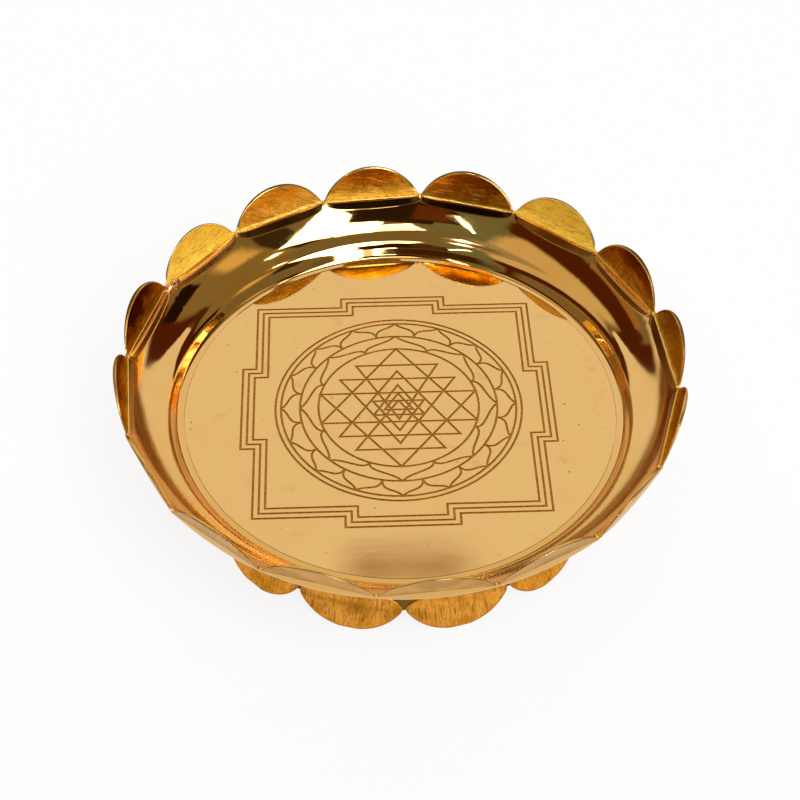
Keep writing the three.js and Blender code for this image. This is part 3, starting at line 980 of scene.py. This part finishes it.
def make_world():
    """Panels with soft edges before the ceiling, and a pale horizon that is highest towards the white wall.
    A panel shows on its own side only, where a ray's share towards its middle is above AHEAD."""
    world = bpy.data.worlds.new("studio")
    bpy.context.scene.world = world
    world.use_nodes = True
    tree = world.node_tree
    nodes = Nodes(tree)
    ray = nodes.add("ShaderNodeTexCoord").outputs["Generated"]

    def along(axis):
        product = nodes.add("ShaderNodeVectorMath", {"operation": "DOT_PRODUCT"}, {0: ray, 1: axis})
        return product.outputs["Value"]

    def covered(axis, half, soft, depth):
        """1 within the panel's half width or half height, and 0 beyond its soft edge"""
        offset = nodes.math("ABSOLUTE", nodes.math("DIVIDE", along(axis), depth))
        inner = math.tan(rad(min(half, WIDEST) - soft / 2))
        outer = math.tan(rad(min(half, WIDEST) + soft / 2))
        return nodes.ramp(offset, inner, outer, 1.0, 0.0)

    colour = CEILING
    for azimuth, elevation, half_width, half_height, roll, soft, shade in PANELS:
        ahead, width, height = panel_axes(azimuth, elevation, roll)
        depth = nodes.math("MAXIMUM", along(ahead), AHEAD[0])
        wide = covered(width, half_width, soft, depth)
        high = covered(height, half_height, soft, depth)
        share = nodes.times(nodes.times(wide, high), nodes.ramp(along(ahead), *AHEAD))
        colour = nodes.mix(share, colour, (*shade, 1))
    low = nodes.ramp(along(direction(WHITE_WALL, 0)), 0.0, 0.6, *HORIZON_TOP)
    sky = nodes.ramp(nodes.part(ray, 2), low, nodes.plus(low, HORIZON_SOFT))
    tree.links.new(nodes.mix(sky, HORIZON, colour), tree.nodes["Background"].inputs["Color"])


def make_floor():
    """A pale floor that keeps the plate's shadow. Camera and mirrored rays see it nearly white."""
    bpy.ops.mesh.primitive_plane_add(size=FLOOR_SIZE, location=(0, 0, -FLOOR_DROP))
    floor = bpy.context.object
    floor.name = "studio_floor"
    material = bpy.data.materials.new("pale_floor")
    material.use_nodes = True
    tree = material.node_tree
    tree.nodes.clear()
    nodes = Nodes(tree)
    rays = nodes.add("ShaderNodeLightPath").outputs
    mirrored = nodes.math("MAXIMUM", rays["Is Glossy Ray"], rays["Is Transmission Ray"])
    seen = nodes.math("MAXIMUM", rays["Is Camera Ray"], mirrored)
    pale = nodes.add("ShaderNodeBsdfDiffuse", None, {"Color": FLOOR_SHADE}).outputs[0]
    white = nodes.add("ShaderNodeEmission", None, {"Color": WHITE, "Strength": 1.0}).outputs[0]
    shade = nodes.add("ShaderNodeMixShader", None, {0: nodes.times(seen, FLOOR_GLOW), 1: pale, 2: white})
    output = nodes.add("ShaderNodeOutputMaterial")
    tree.links.new(shade.outputs[0], output.inputs[0])
    floor.data.materials.append(material)


def make_camera():
    ahead = Vector(CAMERA_AHEAD).normalized()
    level = ahead.cross(Vector((0, 0, 1))).normalized()
    roll = rad(CAMERA_ROLL)
    right = level * math.cos(roll) + level.cross(ahead) * math.sin(roll)
    above = right.cross(ahead)
    data = bpy.data.cameras.new("camera")
    data.lens = CAMERA_LENS
    data.sensor_width = CAMERA_SENSOR
    data.clip_start, data.clip_end = CAMERA_CLIP
    camera = bpy.data.objects.new("camera", data)
    basis = Matrix((right, above, -ahead)).transposed().to_4x4()
    camera.matrix_world = Matrix.Translation(Vector(CAMERA_PLACE) * MM) @ basis
    bpy.context.scene.collection.objects.link(camera)
    bpy.context.scene.camera = camera


def dress(node, material):
    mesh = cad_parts[node].data
    mesh.materials.clear()
    mesh.materials.append(material)


# Assembly

make_camera()
make_world()
make_floor()
dress("floor_plate", engraved_brass())
make_dish(dish_brass())
make_foot_ring(foot_brass())
# The rim looks are lit and shaded copies of one petal brass, partly the petals' own uneven tone: the bright
# and pale looks carry painted highlight, the dark look painted shade
lit_and_shaded_rim_looks = {
    "bright": brushed_brass("rim_petal_bright_painted_light", GOLD, AMBER, 28, 0.9, 0.47, 0.3, RIM_WORK),
    "pale": brushed_brass("rim_petal_pale_painted_highlight", PALE_GOLD, DEEP_GOLD, -6, 0.5, 0.66, 0.5, RIM_WORK, 0.2),
    "amber": brushed_brass("rim_petal_amber", AMBER, BROWN, 8, 0.9, 0.5, 0.14, RIM_WORK),
    "dark": brushed_brass("rim_petal_dark_painted_shade", BROWN, UMBER, -12, 0.9, 0.46, 0.14, RIM_WORK),
}
rim_order = [
    "bright", "amber", "pale", "dark", "amber", "bright", "pale", "dark",
    "amber", "bright", "amber", "bright", "amber", "amber", "bright", "amber",
]
foot_look = brushed_brass("foot_petal_brass", FOOT_GOLD, FOOT_BROWN, 90, 0.55, 0.42, 0.42, FOOT_WORK)
for index, look in enumerate(rim_order):
    make_rim_petal(index, lit_and_shaded_rim_looks[look])
for index in range(FOOT_COUNT):
    make_foot_petal(index, foot_look)
golden_braze = braze("golden_braze", GOLD)
copper_braze = braze("copper_braze", COPPER)
for index in BEADS:
    make_bead(index % RIM_COUNT, copper_braze if index == BIG_BEAD else golden_braze)

scene = bpy.context.scene
scene.view_settings.view_transform = "Standard"
